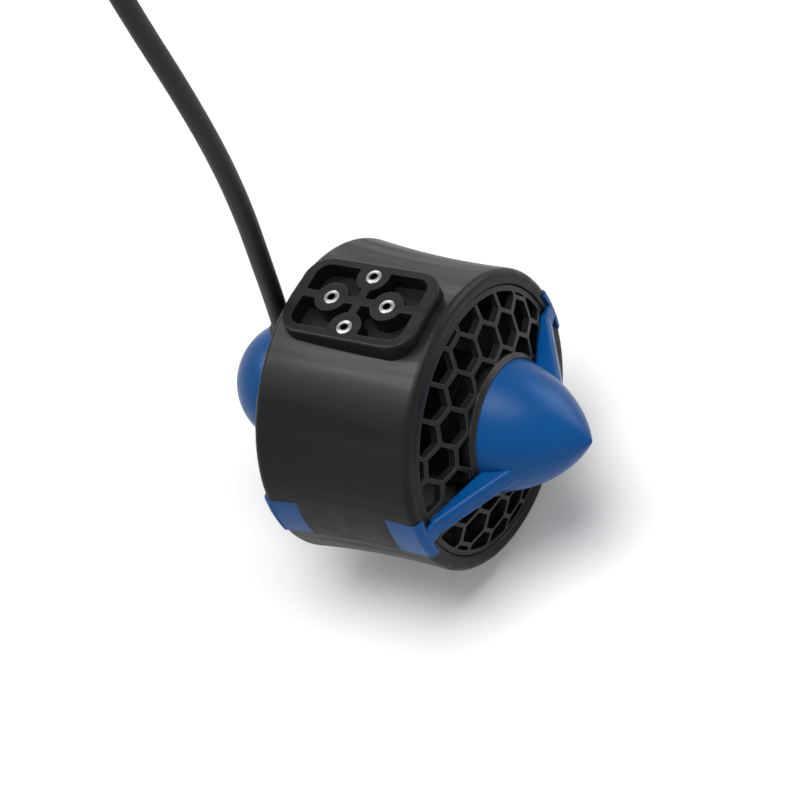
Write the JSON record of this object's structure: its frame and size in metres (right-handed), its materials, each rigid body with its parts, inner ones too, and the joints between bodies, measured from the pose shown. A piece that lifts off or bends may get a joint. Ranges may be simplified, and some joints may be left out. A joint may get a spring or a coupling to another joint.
{
  "type": "underwater thruster",
  "caption": "Ducted electric underwater thruster with honeycomb guards, domed nose, pointed tail, pad mount with threaded inserts, and a power lead.",
  "frame": {"origin": "centre of the mounting pad's face, where the circle of the four threaded inserts has its centre", "axes": "+Z out of the pad's face, +X along the shaft towards the pointed tail cone, +Y to its left"},
  "size_m": [0.1809, 0.1014, 0.3164],
  "materials": {
    "black_plastic": "satin moulded black polycarbonate",
    "guard_plastic": "satin moulded black",
    "cover_plastic": "satin moulded black",
    "blue_plastic": "satin moulded blue",
    "propeller_plastic": "satin moulded black",
    "plug_plastic": "fine moulded black",
    "nickel": "bright nickel plate",
    "steel": "turned stainless",
    "core_steel": "epoxy coated steel",
    "aluminium": "anodised",
    "copper": "enamelled wire",
    "bronze": "sintered bronze",
    "magnet": "nickel plated magnet",
    "rubber": "moulded rubber",
    "wire": "silicone wire",
    "resin": "cast resin",
    "cable_jacket": "matte jacket",
    "tie": "nylon tie"
  },
  "bodies": {
    "root": {"duct_shell": "black_plastic", "threaded_inserts": "nickel", "rear_grille": "guard_plastic", "front_grille": "guard_plastic", "tail_bracket": "blue_plastic", "nose_bracket": "blue_plastic", "side_covers": "cover_plastic", "bracket_screws": "steel", "stator_carrier": "aluminium", "carrier_screws": "steel", "carrier_seal": "rubber", "stator_core": "core_steel", "stator_windings": "copper", "front_bearing": "steel", "rear_bearing": "steel", "tail_bush": "bronze", "thrust_washer": "bronze", "phase_wires": "wire", "potting_plug": "resin", "cable_sealed_end": "cable_jacket", "cable_gland": "rubber", "cable": "cable_jacket", "cable_coil": "cable_jacket", "coil_tie": "tie", "cable_plug": "plug_plastic"},
    "rotor": {"motor_shaft": "steel", "rotor_can": "core_steel", "rotor_magnets": "magnet", "rotor_front_ring": "aluminium", "propeller": "propeller_plastic", "propeller_screws": "steel", "shaft_collar": "steel"}
  },
  "joints": [
    {"name": "rotor_spin", "type": "hinge", "parent": "root", "child": "rotor", "pos_m": [0, 0, -0.0515], "axis": [1, 0, 0], "continuous": true}
  ]
}
